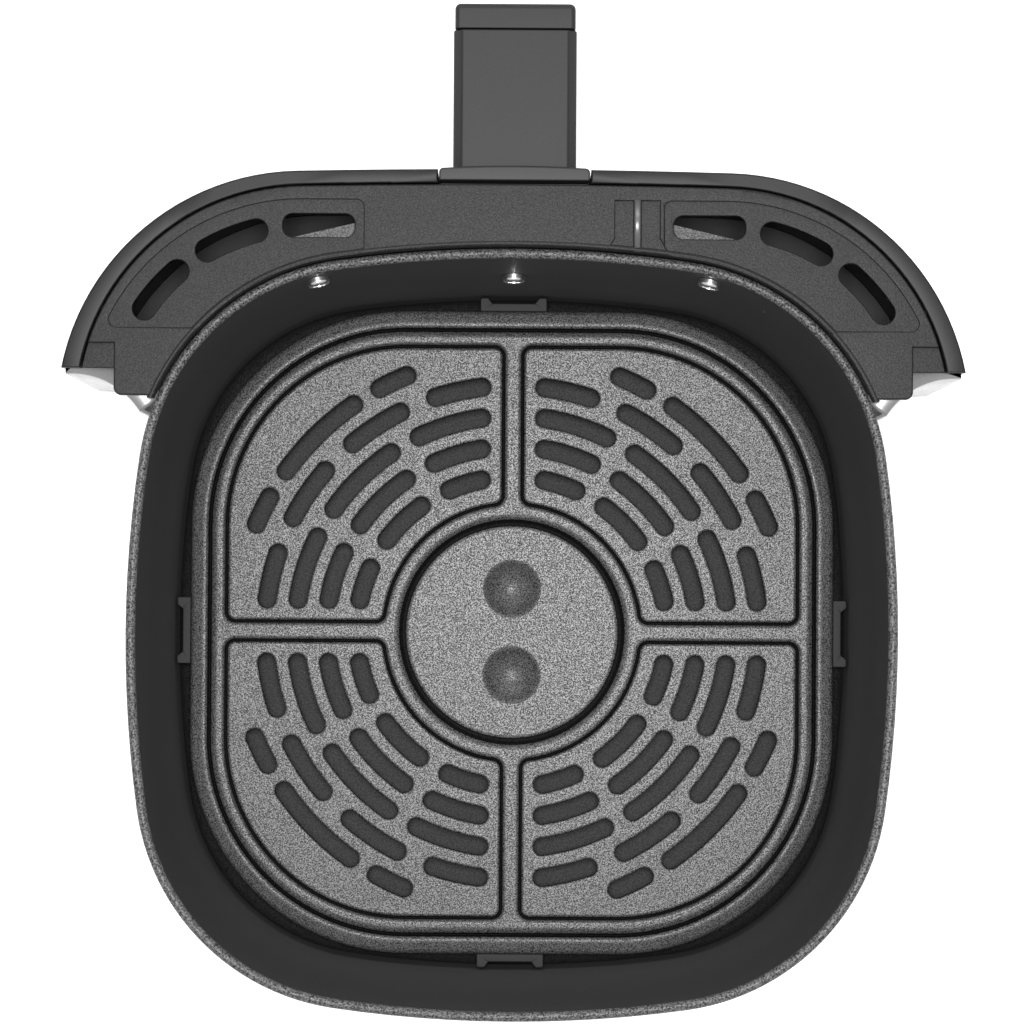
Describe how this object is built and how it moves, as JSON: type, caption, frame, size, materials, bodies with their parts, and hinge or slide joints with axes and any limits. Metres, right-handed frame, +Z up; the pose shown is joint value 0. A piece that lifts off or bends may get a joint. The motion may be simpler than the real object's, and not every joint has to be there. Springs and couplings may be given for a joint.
{
  "type": "air fryer drawer",
  "caption": "Rounded-square coated pan with a rolled rim, a lift-out slotted crisper plate, a crowned fascia with a vented top cover, and a bent bar handle.",
  "frame": {"origin": "centre of the pan's flat base, on the surface that it stands on", "axes": "+Z up out of the pan's mouth, -Y towards the handle's front, +X to the right of a user who faces the handle"},
  "size_m": [0.292, 0.3297, 0.1085],
  "materials": {
    "coated_steel": "satin non-stick coating with fine speckle",
    "speckled_coating": "granular grey non-stick coating",
    "silicone": "matt silicone",
    "cover_plastic": "fine-textured black",
    "frame_plastic": "fine-textured black",
    "skin_steel": "brushed",
    "polished_steel": "polished",
    "handle_plastic": "satin black",
    "mount_plastic": "satin dark grey",
    "zinc_steel": "zinc plated",
    "screw_steel": "bright",
    "black_plastic": "matt black"
  },
  "bodies": {
    "drawer": {"pan": "coated_steel", "front_frame": "frame_plastic", "front_skin": "skin_steel", "top_cover": "cover_plastic", "bottom_cover": "black_plastic", "end_plate_left": "polished_steel", "end_plate_right": "polished_steel", "heat_shield": "zinc_steel", "pan_bracket": "zinc_steel", "handle_mount": "mount_plastic", "handle_arm": "handle_plastic", "handle_front_cover": "handle_plastic", "handle_core": "zinc_steel", "pan_screws": "screw_steel", "pan_nuts": "screw_steel", "handle_bolts": "screw_steel", "cover_screws": "screw_steel", "bottom_screws": "screw_steel", "grip_screws": "screw_steel"},
    "crisper": {"crisper_plate": "speckled_coating", "bumper_front": "silicone", "bumper_back": "silicone", "bumper_left": "silicone", "bumper_right": "silicone"}
  },
  "joints": [
    {"name": "crisper_lift", "type": "slide", "parent": "drawer", "child": "crisper", "axis": [0, 0, 1], "range_m": [0, 0.12]}
  ]
}
